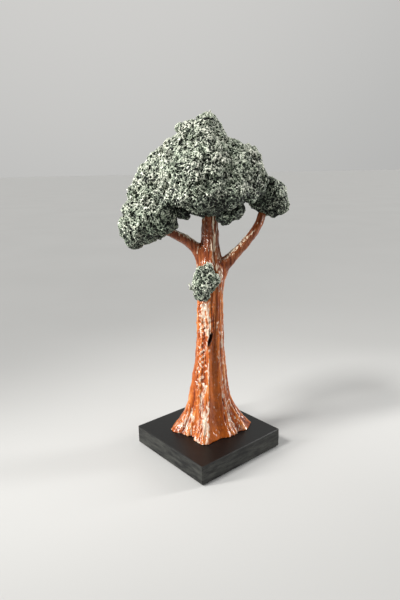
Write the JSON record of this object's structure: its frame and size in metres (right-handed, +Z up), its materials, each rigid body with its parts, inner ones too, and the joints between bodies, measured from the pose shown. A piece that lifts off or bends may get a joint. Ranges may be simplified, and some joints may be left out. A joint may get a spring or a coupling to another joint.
{
  "type": "sculpted clay tree on plinth",
  "caption": "Handmade ornamental tree of painted clay: fluted varnished trunk with spreading roots, forking branches and rough green foliage clumps on a square black plinth.",
  "frame": {"origin": "centre of the felt's underside, which is the plane the piece stands on", "axes": "+Z up along the trunk, X and Y along the sides of the square plinth"},
  "size_m": [0.1063, 0.1314, 0.318],
  "materials": {
    "foliage": "matte painted clay, dark green-black in the pits and dry-brushed with pale mint on the ridges",
    "bark": "red-brown stained clay under gloss varnish",
    "plinth": "satin black lacquer on a square-cut board",
    "felt": "black felt",
    "steel": "bright zinc-plated hardware and bare steel wire",
    "foil": "crumpled kitchen foil"
  },
  "bodies": {
    "root": {"base_felt": "felt", "base_plate": "plinth", "washer_lower": "steel", "nut_lower": "steel", "washer_upper": "steel", "nut_upper": "steel", "armature_rod": "steel", "wire_left": "steel", "wire_right": "steel", "wire_crown": "steel", "tie_low": "steel", "tie_high": "steel", "trunk_core": "foil", "trunk": "bark", "left_branch": "bark", "right_branch": "bark", "crown_core": "foil", "left_core": "foil", "right_core": "foil", "crown_front": "foliage", "crown_top": "foliage", "shoulder_left": "foliage", "shoulder_right": "foliage", "crown_back": "foliage", "left_clump": "foliage", "right_clump": "foliage", "under_left": "foliage", "under_right": "foliage", "trunk_tuft": "foliage", "tuft_pin": "steel"}
  },
  "joints": []
}
